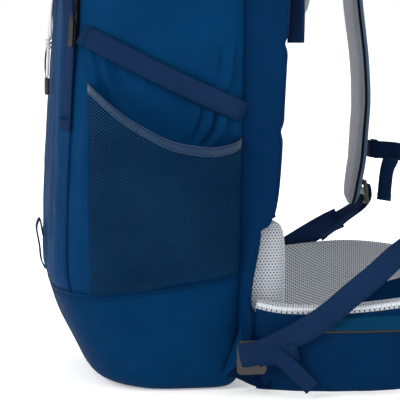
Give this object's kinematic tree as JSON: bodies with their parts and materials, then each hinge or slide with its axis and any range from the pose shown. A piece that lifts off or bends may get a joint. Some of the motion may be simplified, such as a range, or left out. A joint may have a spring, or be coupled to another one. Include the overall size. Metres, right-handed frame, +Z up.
{
  "type": "hiking backpack",
  "caption": "Upright hiking pack with a flap lid, mesh side pockets, a padded back, a shoulder harness and a padded hip belt with buckles.",
  "frame": {"origin": "middle of the flat floor that the pack stands on", "axes": "+Z up; the pack's front faces -Y, the harness and the wearer are on the +Y side, and +X is the wearer's side that carries the front access zip"},
  "size_m": [0.3691, 0.5003, 0.67],
  "materials": {
    "pack_fabric": "woven nylon, fine matte weave",
    "base_fabric": "heavier woven nylon",
    "belt_fabric": "woven nylon over foam, with a spacer-mesh face inside",
    "webbing": "flat woven strap",
    "pocket_mesh": "open stretch mesh",
    "spacer_mesh": "padded spacer mesh",
    "plastic": "moulded, satin",
    "zip_tape": "coated zip tape",
    "zip_metal": "die-cast slider",
    "cord": "braided cord",
    "frame_plastic": "extruded sheet",
    "stay_alloy": "flat bar"
  },
  "bodies": {
    "pack": {"front_panel": "pack_fabric", "side_panel_right": "pack_fabric", "side_panel_left": "pack_fabric", "back_panel": "pack_fabric", "base_panel": "base_fabric", "collar": "pack_fabric", "drawcord": "cord", "cord_lock_body": "plastic", "frame_sheet": "frame_plastic", "frame_stay_right": "stay_alloy", "frame_stay_left": "stay_alloy", "back_pad": "spacer_mesh", "lumbar_pad": "spacer_mesh", "shoulder_yoke": "spacer_mesh", "side_pocket_right": "pocket_mesh", "side_pocket_left": "pocket_mesh", "compression_strap_right": "webbing", "compression_strap_left": "webbing", "lid_buckle_female_right": "plastic", "lid_buckle_female_left": "plastic", "lid_strap_tail_right": "webbing", "lid_strap_tail_left": "webbing", "tool_loop": "webbing", "tool_cord": "cord", "tool_cord_pull": "plastic", "access_zip": "zip_tape", "base_lock_right": "plastic", "base_lock_left": "plastic", "load_lifter_right": "webbing", "load_lifter_left": "webbing"},
    "lid": {"lid_shell": "pack_fabric", "lid_zip": "zip_tape", "lid_hinge_panel": "pack_fabric", "lid_strap_right": "webbing", "lid_strap_left": "webbing", "lid_buckle_male_right": "plastic", "lid_buckle_male_left": "plastic"},
    "lid_zip_pull": {"lid_zip_slider": "plastic"},
    "access_zip_pull": {"access_zip_slider": "zip_metal"},
    "cord_lock_press": {"cord_lock_button": "plastic"},
    "haul_handle": {"haul_loop": "webbing"},
    "shoulder_left": {"shoulder_strap_left": "spacer_mesh", "shoulder_lock_left": "plastic"},
    "shoulder_right": {"shoulder_strap_right": "spacer_mesh", "shoulder_lock_right": "plastic"},
    "sternum": {"sternum_webbing_left": "webbing", "sternum_webbing_right": "webbing", "sternum_buckle_female": "plastic"},
    "sternum_clip": {"sternum_buckle_male": "plastic"},
    "hip_right": {"hip_wing_right": "belt_fabric", "hip_webbing_right": "webbing", "hip_buckle_male": "plastic", "hip_zip_right": "zip_tape", "shoulder_webbing_right": "webbing"},
    "hip_left": {"hip_wing_left": "belt_fabric", "hip_webbing_left": "webbing", "hip_buckle_female": "plastic", "shoulder_webbing_left": "webbing"},
    "hip_zip_pull": {"hip_zip_slider_right": "plastic"}
  },
  "joints": [
    {"name": "lid_hinge", "type": "hinge", "parent": "pack", "child": "lid", "pos_m": [0, 0.146, 0.548], "axis": [-1, 0, 0], "range_deg": [0, 90]},
    {"name": "lid_zip_slide", "type": "slide", "parent": "lid", "child": "lid_zip_pull", "axis": [1, 0, 0], "range_m": [0, 0.144]},
    {"name": "access_zip_slide", "type": "slide", "parent": "pack", "child": "access_zip_pull", "axis": [-0.0302, 0.0478, 0.9984], "range_m": [0, 0.15]},
    {"name": "cord_lock_push", "type": "slide", "parent": "pack", "child": "cord_lock_press", "axis": [0, 0, -1], "range_m": [0, 0.0035], "stiffness_N_per_m": 400, "springref_m": -0.002},
    {"name": "haul_loop_hinge", "type": "hinge", "parent": "pack", "child": "haul_handle", "pos_m": [0, 0.152, 0.534], "axis": [1, 0, 0], "range_deg": [0, 80]},
    {"name": "shoulder_left_hinge", "type": "hinge", "parent": "pack", "child": "shoulder_left", "pos_m": [0, 0.2465, 0.4715], "axis": [1, 0, 0], "range_deg": [0, 25]},
    {"name": "shoulder_right_hinge", "type": "hinge", "parent": "pack", "child": "shoulder_right", "pos_m": [0, 0.2465, 0.4715], "axis": [1, 0, 0], "range_deg": [0, 25]},
    {"name": "sternum_slide", "type": "slide", "parent": "shoulder_left", "child": "sternum", "axis": [0, 0.029, 0.9996], "range_m": [-0.02, 0.03]},
    {"name": "sternum_release", "type": "slide", "parent": "sternum", "child": "sternum_clip", "axis": [1, 0, 0], "range_m": [0, 0.03]},
    {"name": "hip_right_hinge", "type": "hinge", "parent": "pack", "child": "hip_right", "pos_m": [0.15, 0.095, 0.05], "axis": [0, 0, -1], "range_deg": [0, 40]},
    {"name": "hip_left_hinge", "type": "hinge", "parent": "pack", "child": "hip_left", "pos_m": [-0.15, 0.095, 0.05], "axis": [0, 0, -1], "range_deg": [-40, 0]},
    {"name": "hip_zip_slide", "type": "slide", "parent": "hip_right", "child": "hip_zip_pull", "axis": [0, -1, 0], "range_m": [0, 0.055]}
  ],
  "couplings": [
    {"joint": "shoulder_right_hinge", "follows": "shoulder_left_hinge", "ratio": 1},
    {"joint": "hip_left_hinge", "follows": "hip_right_hinge", "ratio": -1}
  ]
}
